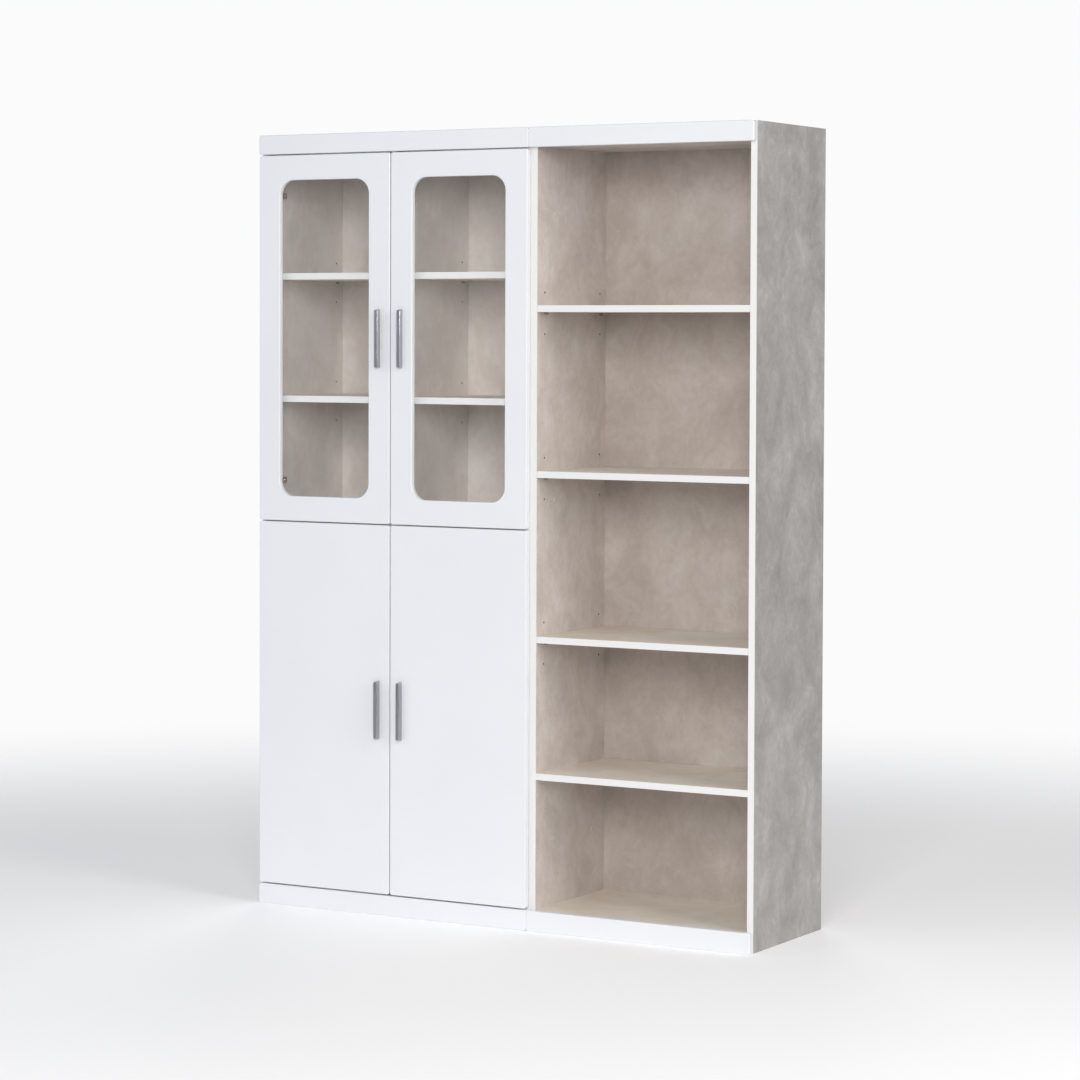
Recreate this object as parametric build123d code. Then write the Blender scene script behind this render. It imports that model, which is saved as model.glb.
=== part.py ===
from build123d import *
import os

# Two-unit bookcase: a cabinet with two glazed doors over two solid doors on the left,
# an open shelf unit on the right. Millimetres. +Z up, the front faces -Y.
# While the pieces are made, Y is 0 at the front edges of the carcass boards and grows
# towards the wall. save() then moves everything so that the origin is the middle of
# the whole bookcase's footprint, handles included, on the floor.

# Overall sizes
height = 1930.0
cabinet_width = 780.0
open_width = 600.0
carcass_depth = 370.0

# Boards
board = 16.0
back_board = 4.0
back_inset = 26.0             # rear edge of the sides to the rear face of the back board
groove_depth = 7.0
groove_clearance = 0.1
band = 1.0                    # plastic edge band on every front edge
shelf_side_clearance = 0.5
shelf_back_clearance = 2.0

# Front rails and plinths
rail_height = 48.0
plinth_height = 50.0
ceiling_above_rail = 4.0      # the rail hangs this far below the top board's underside
front_corner = 6.0            # corner radius of doors, rails and plinths, seen from the front
front_edge = 2.5              # radius along the edges of doors, rails and plinths
rail_dowel = 6.0
rail_dowel_length = 30.0
rail_dowel_cover = 6.0        # wood left between a rail's face and its dowels

# Doors
door_thickness = 16.0
door_back_gap = 2.0           # door's back to the boards' front edges
door_gap = 3.0                # between doors, and between a door and a rail
door_reveal = 1.5             # a door's outer edge stays inside the cabinet's side
window_border = 62.0
window_corner = 38.0
glass = 4.0
glass_overlap = 8.0
glass_clearance = 0.3
clip_width = 14.0
clip_length = 22.0
clip_thickness = 1.3
clip_hook = 5.0               # a clip reaches this far over the glass
clips_per_side = 3

# Shelf heights
open_lower_bay = 314.0        # clear height of each of the two bottom bays
cabinet_shelf_bay = 290.0     # clear height of the two lower bays behind the glass
cabinet_shelf_setback = 8.0

# Shelf pins and their spare holes
pin_hole = 5.0
pin_hole_depth = 7.0          # holes from both faces of a divider stay apart
pin_head = 7.0
pin_head_length = 8.0
pin_seat = 3.0                # height of a pin head's flat above its axis
pin_front = 37.0              # front edge to the front row of holes
pin_rear_inset = 60.0         # rear edge to the rear row
pin_step = 50.0               # spare holes above and below each adjustable shelf
pin_fit = 0.05

# Carcass joints: cams, their bolts and dowels
cam = 15.0
cam_depth = 12.5
cam_from_end = 24.0
cam_bolt = 6.0
cam_bolt_bite = 10.0
cam_front = 60.0              # front edge to the first cam
cam_rear_inset = 90.0         # rear edge to the rear cam
dowel = 8.0
dowel_bite = 10.0
dowel_length = 30.0
divider_dowel_bite = 7.0      # shallow, because two dividers share the middle shelf
dowel_offset = 32.0           # a dowel sits this far in from each cam
joint_clearance = 0.1

# Screws that join the two units
connector = 6.0
connector_head = 13.0
connector_head_height = 1.5
connector_from_end = 160.0    # above the floor board and below the ceiling
connector_above_shelf = 60.0  # above the cabinet's middle shelf, where no board is in the way
connector_clearance = 3.0     # from a connector's head to any board
connector_front = 90.0        # front edge to the front connectors, behind the hinges' arms
connector_rear_inset = 90.0

# Handles
handle_length = 145.0
handle_centres = 128.0
handle_width = 11.0
handle_reach = 16.0           # door face to the front of the handle
handle_bar = 9.0              # front to back thickness of the wide part
handle_neck = 7.0             # width of the narrower part against the door
handle_slope = 6.0            # the front is shorter by this at each end
handle_bend = 4.0             # radius of the front's two ends
handle_edge = 2.0             # radius along its other edges
handle_from_edge = 31.0       # centre line to the door's meeting edge
handle_screw = 4.0
handle_screw_bite = 10.0
handle_screw_head = 8.0
handle_screw_head_height = 2.2
screw_clearance = 0.1

# Concealed cup hinges
hinge_from_end = 98.0
cup = 35.0
cup_depth = 11.5
cup_wall = 0.6
cup_from_edge = 3.0           # door edge to the cup's hole
cup_fit = 0.05
cup_flange = 0.8
cup_ear_width = 13.0
cup_ear_length = 56.0
cup_ear_corner = 5.5
cup_ear_offset = 7.0          # ear's centre line, inwards of the cup's centre
cup_screw_spacing = 45.0
cup_screw = 3.5
cup_screw_head = 7.0
cup_screw_head_height = 0.5
cup_screw_bite = 11.0
pivot_from_edge = 7.0         # door edge to the hinge axis
pivot_depth = 8.5             # door's back to the hinge axis
pivot_pin = 2.4
pivot_fit = 0.05
eye_radius = 2.0
arm_nose = 7.0                # height of the arm's nose and its eye
arm_sheet = 2.0
arm_chamfer = 2.0
arm_neck_past_plate = 3.0     # the plate's face to the middle of the arm's neck
arm_body_width = 14.0
arm_body_height = 8.0
arm_body_start = 8.0
arm_body_end = 70.0
arm_screw = 6.0
arm_screw_recess = 1.5
plate = 3.0
plate_length = 30.0
plate_width = 48.0
plate_centre = 37.0
plate_corner = 2.0
plate_screw_spacing = 32.0
plate_screw = 6.0
plate_screw_bite = 12.0
plate_screw_head = 9.0
plate_screw_head_height = 1.5

# Two edges this near to a plane count as lying in it
in_plane = 0.01

# Places that follow from the sizes above
total_width = cabinet_width + open_width
front_depth = door_thickness + door_back_gap       # rails and plinths are this thick
front_plane_y = -(carcass_depth - front_depth - handle_reach) / 2
cabinet_x = -total_width / 2                       # outer face of the cabinet's left side
seam_x = cabinet_x + cabinet_width
open_x = seam_x
right_x = total_width / 2
back_face = carcass_depth - back_inset - back_board
shelf_depth = back_face - shelf_back_clearance
ceiling = height - rail_height + ceiling_above_rail
floor_top = plinth_height
door_low = plinth_height + door_gap
door_high = height - rail_height - door_gap
door_middle = (door_low + door_high) / 2
door_width = (cabinet_width - 2 * door_reveal - door_gap) / 2
door_back = -door_back_gap
door_face = -front_depth
middle_low = door_middle - board / 2
middle_top = door_middle + board / 2
split_x = cabinet_x + cabinet_width / 2
pivot_u = door_reveal + pivot_from_edge            # hinge axis from the outer side face
pivot_y = door_back - pivot_depth
cup_u = door_reveal + cup_from_edge + cup / 2
arm_neck = board + plate + arm_neck_past_plate
pin_rear = carcass_depth - pin_rear_inset
cam_rear = carcass_depth - cam_rear_inset
connector_places_y = (connector_front, carcass_depth - connector_rear_inset)
connector_wishes = (
    floor_top + connector_from_end, middle_top + connector_above_shelf, ceiling - connector_from_end)

# Undersides of the shelves
open_fixed_low = floor_top + open_lower_bay
open_third_low = open_fixed_low + board + open_lower_bay
open_upper_bay = (ceiling - open_third_low - 3 * board) / 3
open_shelf_lows = [open_third_low + (board + open_upper_bay) * i for i in range(3)]
cabinet_upper_lows = [middle_top + cabinet_shelf_bay + (board + cabinet_shelf_bay) * i for i in range(2)]
cabinet_lower_low = (floor_top + middle_low - board) / 2
columns = {
    "left": (cabinet_x + board, split_x - board / 2),
    "right": (split_x + board / 2, seam_x - board),
}
doors = {
    "upper_left": ("left", door_middle + door_gap / 2, door_high, True),
    "upper_right": ("right", door_middle + door_gap / 2, door_high, True),
    "lower_left": ("left", door_low, door_middle - door_gap / 2, False),
    "lower_right": ("right", door_low, door_middle - door_gap / 2, False),
}


def box(x, y, z):
    """A box between two X, two Y and two Z values."""
    size = Box(x[1] - x[0], y[1] - y[0], z[1] - z[0])
    return Pos((x[0] + x[1]) / 2, (y[0] + y[1]) / 2, (z[0] + z[1]) / 2) * size


def rod(axis, diameter, start, length):
    """A round bar of this diameter, from a start point, along X, Y or Z."""
    turn = {"x": Rot(0, 90, 0), "y": Rot(-90, 0, 0), "z": Rot(0, 0, 0)}[axis]
    return Pos(*start) * turn * Pos(0, 0, length / 2) * Cylinder(diameter / 2, abs(length))


def group(solids):
    """Separate solids that share one node."""
    return Compound([s.solid() for s in solids])


def save(name, shape):
    """Write a node, moved from the making frame into the bookcase's own frame."""
    export_step(Pos(0, front_plane_y, 0) * shape, f"parts/{name}.step")


# ---- what holds the carcass together ----

def joint_rows():
    """Front-to-back places of the cams and of the dowels beside them."""
    return (cam_front, cam_rear), (cam_front + dowel_offset, cam_rear - dowel_offset)


def fixed_boards():
    """Every board that cams hold between two uprights: its X span and its underside."""
    cabinet_span = (cabinet_x + board, seam_x - board)
    open_span = (open_x + board, right_x - board)
    return {
        "cabinet_top_panel": (cabinet_span, ceiling),
        "cabinet_middle_shelf": (cabinet_span, middle_low),
        "cabinet_bottom_panel": (cabinet_span, floor_top - board),
        "open_top_panel": (open_span, ceiling),
        "open_fixed_shelf": (open_span, open_fixed_low),
        "open_bottom_panel": (open_span, floor_top - board),
    }


def ends(span):
    """Both ends of a board, each with the direction in which the board lies."""
    return ((span[0], 1), (span[1], -1))


def cams_of(span, low, grow=0.0):
    """The cams let into the underside of a board."""
    places = [(x + way * cam_from_end, y) for x, way in ends(span) for y in joint_rows()[0]]
    return [rod("z", cam + grow, (x, y, low), cam_depth) for x, y in places]


def cam_bolts_of(span, low, grow=0.0):
    """The bolts that the cams pull: from the middle of a board's end into the upright."""
    reach = cam_from_end - cam / 2
    ends_in = [(x, way, y) for x, way in ends(span) for y in joint_rows()[0]]
    starts = [(min(x - way * cam_bolt_bite, x + way * reach), y) for x, way, y in ends_in]
    return [rod("x", cam_bolt + grow, (x, y, low + board / 2), reach + cam_bolt_bite) for x, y in starts]


def dowels_of(span, low, grow=0.0):
    """The wooden dowels that line a board up with its uprights."""
    inside = dowel_length - dowel_bite
    ends_in = [(x, way, y) for x, way in ends(span) for y in joint_rows()[1]]
    starts = [(min(x - way * dowel_bite, x + way * inside), y) for x, way, y in ends_in]
    return [rod("x", dowel + grow, (x, y, low + board / 2), dowel_length) for x, y in starts]


def divider_dowels(grow=0.0):
    """Upright dowels at both ends of both dividers."""
    bite, inside_divider = divider_dowel_bite, dowel_length - divider_dowel_bite
    starts = [z for low, high in divider_spans() for z in (low - bite, high - inside_divider)]
    return [rod("z", dowel + grow, (split_x, y, z), dowel_length) for y in joint_rows()[0] for z in starts]


def joint_cuts(boards):
    """The holes that cams, bolts and dowels need in these boards and their uprights."""
    cuts = divider_dowels(joint_clearance)
    for span, low in boards:
        cuts += cams_of(span, low, joint_clearance)
        cuts += cam_bolts_of(span, low, joint_clearance)
        cuts += dowels_of(span, low, joint_clearance)
    return cuts


def connector_heights():
    """The wished heights, each moved to the nearest one clear of both units' boards."""
    apart = connector_head / 2 + connector_clearance
    lows = [low for _, low in fixed_boards().values()]
    lows += [low for _, low, _ in adjustable_shelves().values()]
    taken = [(low - apart, low + board + apart) for low in lows]
    places = [*connector_wishes, *(z for span in taken for z in span)]
    free = [z for z in places if all(z <= low or z >= high for low, high in taken)]
    return [min(free, key=lambda z: abs(z - wish)) for wish in connector_wishes]


def connectors():
    """Barrel screws through both middle sides, a flat head on each inner face."""
    pieces = []
    for z in connector_heights():
        for y in connector_places_y:
            shank = rod("x", connector, (seam_x - board, y, z), 2 * board)
            for x in (seam_x - board - connector_head_height, seam_x + board):
                shank += rod("x", connector_head, (x, y, z), connector_head_height)
            pieces.append(shank)
    return pieces


def connector_cuts():
    """The holes for the barrel screws."""
    return [
        rod("x", connector + joint_clearance, (seam_x - board, y, z), 2 * board)
        for z in connector_heights()
        for y in connector_places_y
    ]


# ---- adjustable shelves, their pins and pin holes ----

def adjustable_shelves():
    """Every shelf that lies on pins: its bay's X span, its underside, its front setback."""
    open_span = (open_x + board, right_x - board)
    shelves = {}
    for i, low in enumerate(reversed(open_shelf_lows)):
        shelves[f"open_shelf_{i + 1}"] = (open_span, low, 0.0)
    for side, span in columns.items():
        for i, low in enumerate(reversed(cabinet_upper_lows)):
            shelves[f"cabinet_upper_{side}_shelf_{i + 1}"] = (span, low, cabinet_shelf_setback)
        shelves[f"cabinet_lower_{side}_shelf"] = (span, cabinet_lower_low, cabinet_shelf_setback)
    return shelves


def shelf_pin(x, way, y, low):
    """A pin: a peg in the upright and a thicker head whose flat carries the shelf."""
    z = low - pin_seat
    peg_length = pin_hole_depth - 2 * pin_fit
    peg = rod("x", pin_hole - 2 * pin_fit, (min(x, x - way * peg_length), y, z), peg_length)
    head = rod("x", pin_head, (min(x, x + way * pin_head_length), y, z), pin_head_length)
    beside = (x - pin_head_length, x + pin_head_length)
    above = box(beside, (y - pin_head, y + pin_head), (low, low + pin_head))
    return peg + (head - above)


def pins_for(names):
    """The four pins under each of the named shelves."""
    pins = []
    for name in names:
        span, low, _ = adjustable_shelves()[name]
        pins += [shelf_pin(x, way, y, low) for x, way in ends(span) for y in (pin_front, pin_rear)]
    return pins


def pin_hole_cuts():
    """The pins' holes and one spare row above and below each adjustable shelf."""
    cuts = []
    for span, low, _ in adjustable_shelves().values():
        for x, way in ends(span):
            for z in (low - pin_seat - pin_step, low - pin_seat, low - pin_seat + pin_step):
                for y in (pin_front, pin_rear):
                    cuts.append(rod("x", pin_hole, (min(x, x - way * pin_hole_depth), y, z), pin_hole_depth))
    return cuts


# ---- boards ----

def back_groove(x, z):
    """The groove for the back board, over this X and Z range."""
    rear = carcass_depth - back_inset + groove_clearance
    return box(x, (rear - back_board - 2 * groove_clearance, rear), z)


def side(x, inner_way):
    """An upright side over the full height; inner_way points into its unit."""
    inner_face = x + board / 2 + inner_way * board / 2
    groove_x = sorted((inner_face, inner_face - inner_way * groove_depth))
    panel = box((x, x + board), (band, carcass_depth), (0, height))
    return panel - back_groove(groove_x, (floor_top - groove_depth, ceiling + groove_depth))


def drilled(panel, cuts):
    """A board with every one of these holes that reaches it."""
    bounds = panel.bounding_box()
    near = [c for c in cuts if touches(bounds, c.bounding_box())]
    return panel - near if near else panel


def touches(a, b):
    """Whether two bounding boxes overlap."""
    lows = (a.min.X < b.max.X, a.min.Y < b.max.Y, a.min.Z < b.max.Z)
    highs = (b.min.X < a.max.X, b.min.Y < a.max.Y, b.min.Z < a.max.Z)
    return all(lows) and all(highs)


def divider(low, high):
    """The upright board in the middle of the cabinet."""
    return box((split_x - board / 2, split_x + board / 2), (band, shelf_depth), (low, high))


def fixed_board(name):
    """A board held by cams. Top and bottom boards run to the rear and hold the back board."""
    span, low = fixed_boards()[name]
    if name.endswith("_panel"):
        panel = box(span, (band, carcass_depth), (low, low + board))
        top_side = name.endswith("top_panel")
        groove_z = (low, low + groove_depth) if top_side else (low + board - groove_depth, low + board)
        return panel - back_groove(span, groove_z)
    return box(span, (band, shelf_depth), (low, low + board))


def back_panel(span):
    """A thin board that slides into the grooves all round."""
    reach = groove_depth - groove_clearance
    rear = carcass_depth - back_inset
    x = (span[0] - reach, span[1] + reach)
    return box(x, (rear - back_board, rear), (floor_top - reach, ceiling + reach))


def adjustable_shelf(name):
    """A loose shelf, a little shorter than its bay."""
    span, low, setback = adjustable_shelves()[name]
    x = (span[0] + shelf_side_clearance, span[1] - shelf_side_clearance)
    return box(x, (setback + band, shelf_depth), (low, low + board))


def edge_bands(unit):
    """The plastic strips on the front edges of one unit's boards."""
    x = (cabinet_x, seam_x) if unit == "cabinet" else (open_x, right_x)
    upright_x = ((x[0], x[0] + board), (x[1] - board, x[1]))
    strips = [box(span, (0, band), (0, height)) for span in upright_x]
    for name, (span, low) in fixed_boards().items():
        if name.startswith(unit):
            strips.append(box(span, (0, band), (low, low + board)))
    for name, (span, low, setback) in adjustable_shelves().items():
        if name.startswith(unit):
            strip_x = (span[0] + shelf_side_clearance, span[1] - shelf_side_clearance)
            strips.append(box(strip_x, (setback, setback + band), (low, low + board)))
    if unit == "cabinet":
        for low, high in divider_spans():
            strips.append(box((split_x - board / 2, split_x + board / 2), (0, band), (low, high)))
    return group(strips)


def divider_spans():
    """Lower and upper ends of the two dividers."""
    return ((floor_top, middle_low), (middle_top, ceiling))


# ---- painted fronts: rails, plinths and doors ----

def front_plate(x, z, thickness):
    """A front with round corners and softened edges, its face in the doors' face plane."""
    outline = RectangleRounded(x[1] - x[0], z[1] - z[0], front_corner)
    place = Plane(origin=((x[0] + x[1]) / 2, door_face, (z[0] + z[1]) / 2), x_dir=(1, 0, 0), z_dir=(0, 1, 0))
    plate_solid = extrude(place * outline, thickness)
    return fillet(edges_at(plate_solid, door_face), front_edge)


def rail_dowel_places(unit):
    """Where dowels hold a unit's rail and plinth to its sides: X and Z."""
    x = (cabinet_x, seam_x) if unit == "cabinet" else (open_x, right_x)
    z = (floor_top - board / 2, ceiling + board / 2)
    return [(px, pz) for px in (x[0] + board / 2, x[1] - board / 2) for pz in z]


def rail_dowels(grow=0.0):
    """Dowels that hold rails and plinths to the front edges of the sides."""
    start = door_face + rail_dowel_cover
    places = rail_dowel_places("cabinet") + rail_dowel_places("open")
    return [rod("y", rail_dowel + grow, (x, start, z), rail_dowel_length) for x, z in places]


def door_x(side_name):
    """The X span of a door."""
    if side_name == "left":
        return (cabinet_x + door_reveal, cabinet_x + door_reveal + door_width)
    return (seam_x - door_reveal - door_width, seam_x - door_reveal)


def window(x, z, border, corner, y):
    """A block with round corners, to cut a door's window or its rebate."""
    outline = RectangleRounded(x[1] - x[0] - 2 * border, z[1] - z[0] - 2 * border, corner)
    place = Plane(origin=((x[0] + x[1]) / 2, y[0], (z[0] + z[1]) / 2), x_dir=(1, 0, 0), z_dir=(0, 1, 0))
    return extrude(place * outline, y[1] - y[0])


def edges_at(panel, y):
    """The edges of a door or plate that lie in one upright plane."""
    return panel.edges().filter_by_position(Axis.Y, y - in_plane, y + in_plane)


def door_panel(name):
    """A door: softened all round, with a window if it is glazed, drilled for its fittings."""
    side_name, low, high, glazed = doors[name]
    x, z = door_x(side_name), (low, high)
    panel = front_plate(x, z, door_thickness)
    panel = fillet(edges_at(panel, door_back), front_edge)
    if glazed:
        panel = with_window(panel, x, z)
    cuts = [hinge_piece(side_name, h, cup_hole()) for h in hinge_heights(name)]
    hole = handle_screw + screw_clearance
    cuts += [rod("y", hole, (px, door_face, pz), door_thickness) for px, pz in handle_feet(name)]
    return panel - cuts


def with_window(panel, x, z):
    """The same door with its window, the window's soft front rim and the glass rebate."""
    outer_edges = list(edges_at(panel, door_face))
    panel = panel - window(x, z, window_border, window_corner, (door_face, door_back))
    rim = [e for e in edges_at(panel, door_face) if all(e.distance_to(o) > front_edge for o in outer_edges)]
    panel = fillet(rim, front_edge)
    rebate_y = (door_back - glass - glass_clearance, door_back)
    return panel - window(x, z, window_border - glass_overlap, window_corner + glass_overlap, rebate_y)


def glass_pane(name):
    """The pane in a glazed door's rebate, flush with the door's back."""
    side_name, low, high, _ = doors[name]
    border = window_border - glass_overlap + glass_clearance
    corner = window_corner + glass_overlap - glass_clearance
    return window(door_x(side_name), (low, high), border, corner, (door_back - glass, door_back))


def clip_places(name):
    """Where the glass clips sit: X, Z and the way towards the glass."""
    side_name, low, high, _ = doors[name]
    x = door_x(side_name)
    edge = window_border - glass_overlap
    heights = [low + (high - low) * (i + 1) / (clips_per_side + 1) for i in range(clips_per_side)]
    places = [(x[0] + edge, z, (1, 0)) for z in heights] + [(x[1] - edge, z, (-1, 0)) for z in heights]
    middle = (x[0] + x[1]) / 2
    return places + [(middle, low + edge, (0, 1)), (middle, high - edge, (0, -1))]


def glass_clip(x, z, way):
    """A flat clip on the door's back: it covers the rebate's edge and the glass's rim."""
    reach = clip_length - clip_hook
    across = [(c - clip_width / 2, c + clip_width / 2) for c in (x, z)]
    along = [sorted((c - w * reach, c + w * clip_hook)) for c, w in zip((x, z), way)]
    clip_x, clip_z = [a if w else b for w, a, b in zip(way, along, across)]
    clip = box(clip_x, (door_back, door_back + clip_thickness), clip_z)
    hole_x, hole_z = x - way[0] * reach / 2, z - way[1] * reach / 2
    return clip - rod("y", cup_screw + screw_clearance, (hole_x, door_back, hole_z), clip_thickness)


# ---- handles ----

def handle_centre(name):
    """A handle's centre line X and its middle height."""
    side_name, low, high, _ = doors[name]
    x = door_x(side_name)
    cx = x[1] - handle_from_edge if side_name == "left" else x[0] + handle_from_edge
    return cx, (low + high) / 2


def handle_feet(name):
    """X and Z of a handle's two screws."""
    cx, cz = handle_centre(name)
    return [(cx, cz - handle_centres / 2), (cx, cz + handle_centres / 2)]


def handle(name):
    """A bar pull: a solid bar on a narrower neck, its ends sloping back to the door."""
    cx, cz = handle_centre(name)
    foot, front = handle_length / 2, handle_length / 2 - handle_slope
    back, face = door_face, door_face - handle_reach
    side_view = Polyline((back, -foot), (face, -front), (face, front), (back, foot), close=True)
    bar = extrude(Plane.YZ * make_face(side_view), handle_width / 2, both=True)
    bar = fillet(edges_at(bar, face).filter_by(Axis.X), handle_bend)
    flanks = bar.faces().filter_by(Axis.X)
    rims = [e for flank in flanks for e in flank.edges() if abs(e.center().Y - back) > in_plane]
    bar = fillet(rims, handle_edge)
    for way in (-1, 1):
        groove_x = sorted((way * handle_neck / 2, way * handle_width))
        bar = bar - box(groove_x, (face + handle_bar, back), (-handle_length, handle_length))
    holes = [
        rod("y", handle_screw + screw_clearance, (x, back - handle_screw_bite - screw_clearance, z),
            handle_screw_bite + screw_clearance)
        for x, z in handle_feet(name)
    ]
    return Pos(cx, 0, cz) * bar - holes


def handle_screws(name):
    """Two machine screws from inside the door into the handle's neck."""
    length = door_thickness + handle_screw_bite
    screws = []
    for x, z in handle_feet(name):
        shank = rod("y", handle_screw, (x, door_back - length, z), length)
        screws.append(shank + rod("y", handle_screw_head, (x, door_back, z), handle_screw_head_height))
    return screws


# ---- concealed hinges, made at the origin of the side's outer front edge ----

def hinge_heights(name):
    """Heights of a door's two hinges."""
    _, low, high, _ = doors[name]
    return (low + hinge_from_end, high - hinge_from_end)


def hinge_piece(side_name, z, solid):
    """A hinge piece for this side of the cabinet, at this height."""
    if side_name == "left":
        return Pos(cabinet_x, 0, z) * solid
    return Pos(seam_x, 0, z) * mirror(solid, Plane.YZ)


def cup_hole():
    """The round pocket for a cup, in the door's back."""
    return rod("y", cup, (cup_u, door_back - cup_depth, 0), cup_depth)


def hinge_cup():
    """The pressed cup with its flange and ears, drilled for the pivot pin and two screws."""
    outside = cup - 2 * cup_fit
    bottom = door_back - cup_depth + cup_fit
    body = rod("y", outside, (cup_u, bottom, 0), cup_depth - cup_fit + cup_flange)
    ear_x = cup_u + cup_ear_offset
    ears = Pos(ear_x, door_back + cup_flange / 2, 0) * Rot(90, 0, 0)
    ear_outline = RectangleRounded(cup_ear_width, cup_ear_length, cup_ear_corner)
    body = body + ears * extrude(ear_outline, cup_flange / 2, both=True)
    hollow = rod("y", outside - 2 * cup_wall, (cup_u, bottom + cup_wall, 0), cup_depth + cup_flange)
    body = body - hollow
    body = body - rod("z", pivot_pin, (pivot_u, pivot_y, -pin_reach()), 2 * pin_reach())
    hole = cup_screw + screw_clearance
    return body - [rod("y", hole, (ear_x, door_back, z), cup_flange) for z in cup_screw_z()]


def pin_reach():
    """Half the pivot pin's length: its ends stop inside the cup's round wall."""
    off_centre = cup_u - pivot_u + pivot_pin / 2
    return ((cup / 2 - cup_fit) ** 2 - off_centre ** 2) ** 0.5 - cup_fit


def pivot_pin_solid():
    """The pin across the cup that the arm's eye turns on."""
    return rod("z", pivot_pin, (pivot_u, pivot_y, -pin_reach()), 2 * pin_reach())


def cup_screw_z():
    """Heights of a cup's screws from its centre."""
    return (-cup_screw_spacing / 2, cup_screw_spacing / 2)


def wood_screw(x, y, z, head_y):
    """A small screw into a door's back; its flat head sits on head_y."""
    shank = rod("y", cup_screw, (x, y - cup_screw_bite, z), cup_screw_bite + (head_y - y))
    return shank + rod("y", cup_screw_head, (x, head_y, z), cup_screw_head_height)


def cup_screws(side_name, z):
    """The two screws of one cup."""
    head_y = door_back + cup_flange
    screws = [wood_screw(cup_u + cup_ear_offset, door_back, dz, head_y) for dz in cup_screw_z()]
    return [hinge_piece(side_name, z, screw) for screw in screws]


def hinge_arm():
    """The arm: an eye round the pin, a goose neck out of the cup and a body on the plate."""
    half = arm_nose / 2
    nose_x = (pivot_u, arm_neck + arm_sheet / 2)
    nose_y = (pivot_y - arm_sheet / 2, pivot_y + arm_sheet / 2)
    neck_x = (arm_neck - arm_sheet / 2, arm_neck + arm_sheet / 2)
    arm = rod("z", 2 * eye_radius, (pivot_u, pivot_y, -half), arm_nose)
    arm = arm + box(nose_x, nose_y, (-half, half))
    arm = arm + box(neck_x, (nose_y[0], arm_body_start + arm_sheet), (-half, half))
    body_x = (board + plate, board + plate + arm_body_height)
    body = box(body_x, (arm_body_start, arm_body_end), (-arm_body_width / 2, arm_body_width / 2))
    outer_edges = body.edges().filter_by_position(Axis.X, body_x[1] - in_plane, body_x[1] + in_plane)
    arm = arm + chamfer(outer_edges, arm_chamfer)
    arm = arm - rod("z", pivot_pin + 2 * pivot_fit, (pivot_u, pivot_y, -half), arm_nose)
    screw_y = (plate_centre - arm_screw, arm_body_end - 2 * arm_screw)
    recesses = [(body_x[1] - arm_screw_recess, y, 0) for y in screw_y]
    return arm - [rod("x", arm_screw, place, arm_screw_recess) for place in recesses]


def hinge_plate():
    """The mounting plate on the side's inner face."""
    y = (plate_centre - plate_length / 2, plate_centre + plate_length / 2)
    base = box((board, board + plate), y, (-plate_width / 2, plate_width / 2))
    base = fillet(base.edges().filter_by(Axis.X), plate_corner)
    hole = plate_screw + screw_clearance
    return base - [rod("x", hole, (board, plate_centre, z), plate) for z in plate_screw_z()]


def plate_screw_z():
    """Heights of a plate's screws from its centre."""
    return (-plate_screw_spacing / 2, plate_screw_spacing / 2)


def plate_screws():
    """The two screws of one plate, deep in the side."""
    screws = []
    for z in plate_screw_z():
        shank = rod("x", plate_screw, (board - plate_screw_bite, plate_centre, z), plate_screw_bite + plate)
        head = rod("x", plate_screw_head, (board + plate, plate_centre, z), plate_screw_head_height)
        screws.append(shank + head)
    return screws


def plate_screw_cuts():
    """The screws' holes in the cabinet's sides."""
    start = board - plate_screw_bite
    holes = [rod("x", plate_screw, (start, plate_centre, z), plate_screw_bite) for z in plate_screw_z()]
    return [hinge_piece(doors[d][0], h, hole) for d in doors for h in hinge_heights(d) for hole in holes]


def clip_screws(name):
    """One screw for each glass clip."""
    reach = clip_length - clip_hook
    head_y = door_back + clip_thickness
    return [
        wood_screw(x - way[0] * reach / 2, door_back, z - way[1] * reach / 2, head_y)
        for x, z, way in clip_places(name)
    ]


# ---- write every node ----

def write_carcass():
    """Boards, back boards, shelves with their pins, and the edge bands."""
    boards = list(fixed_boards().values())
    cuts = joint_cuts(boards) + pin_hole_cuts() + connector_cuts() + plate_screw_cuts()
    cuts += rail_dowels(joint_clearance)
    save("cabinet_left_side", drilled(side(cabinet_x, 1), cuts))
    save("cabinet_right_side", drilled(side(seam_x - board, -1), cuts))
    save("open_left_side", drilled(side(open_x, 1), cuts))
    save("open_right_side", drilled(side(right_x - board, -1), cuts))
    for name, (low, high) in zip(("cabinet_lower_divider", "cabinet_upper_divider"), divider_spans()):
        save(name, drilled(divider(low, high), cuts))
    for name in fixed_boards():
        save(name, drilled(fixed_board(name), cuts))
    save("cabinet_back_panel", back_panel((cabinet_x + board, seam_x - board)))
    save("open_back_panel", back_panel((open_x + board, right_x - board)))
    for name in adjustable_shelves():
        save(name, adjustable_shelf(name))
    for unit in ("cabinet", "open"):
        names = [n for n in adjustable_shelves() if n.startswith(unit)]
        save(f"{unit}_shelf_pins", group(pins_for(names)))
        save(f"{unit}_edge_bands", group([drilled(s, cuts) for s in edge_bands(unit).solids()]))


def write_fronts():
    """The rails above the doors and bays, and the plinths below them."""
    dowel_holes = rail_dowels(joint_clearance)
    for unit, x in (("cabinet", (cabinet_x, seam_x)), ("open", (open_x, right_x))):
        rail = front_plate(x, (height - rail_height, height), front_depth)
        save(f"{unit}_top_rail", drilled(rail, dowel_holes))
        save(f"{unit}_plinth", drilled(front_plate(x, (0, plinth_height), front_depth), dowel_holes))


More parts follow.
